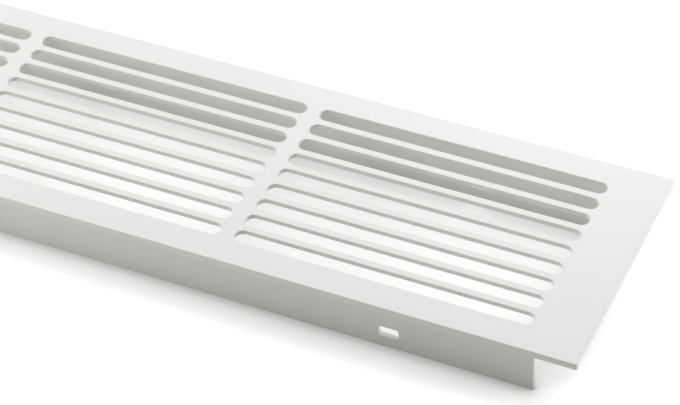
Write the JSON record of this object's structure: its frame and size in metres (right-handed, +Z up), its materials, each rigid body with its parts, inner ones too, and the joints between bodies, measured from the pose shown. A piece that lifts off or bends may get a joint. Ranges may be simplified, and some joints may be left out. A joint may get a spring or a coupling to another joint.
{
  "type": "ventilation grille",
  "caption": "Long flat ventilation grille pierced by panels of round-ended slots, with a leg under each long rim that drops into a cut-out.",
  "frame": {"origin": "middle of the footprint, on the surface that the feet of the legs stand on", "axes": "+X along the length, +Y from the front rim to the rear rim, +Z up through the slotted face"},
  "size_m": [0.6, 0.08, 0.021],
  "materials": {
    "powder_coat": "white powder coat, satin to matt, fine grain"
  },
  "bodies": {
    "root": {"grille_profile": "powder_coat"}
  },
  "joints": []
}
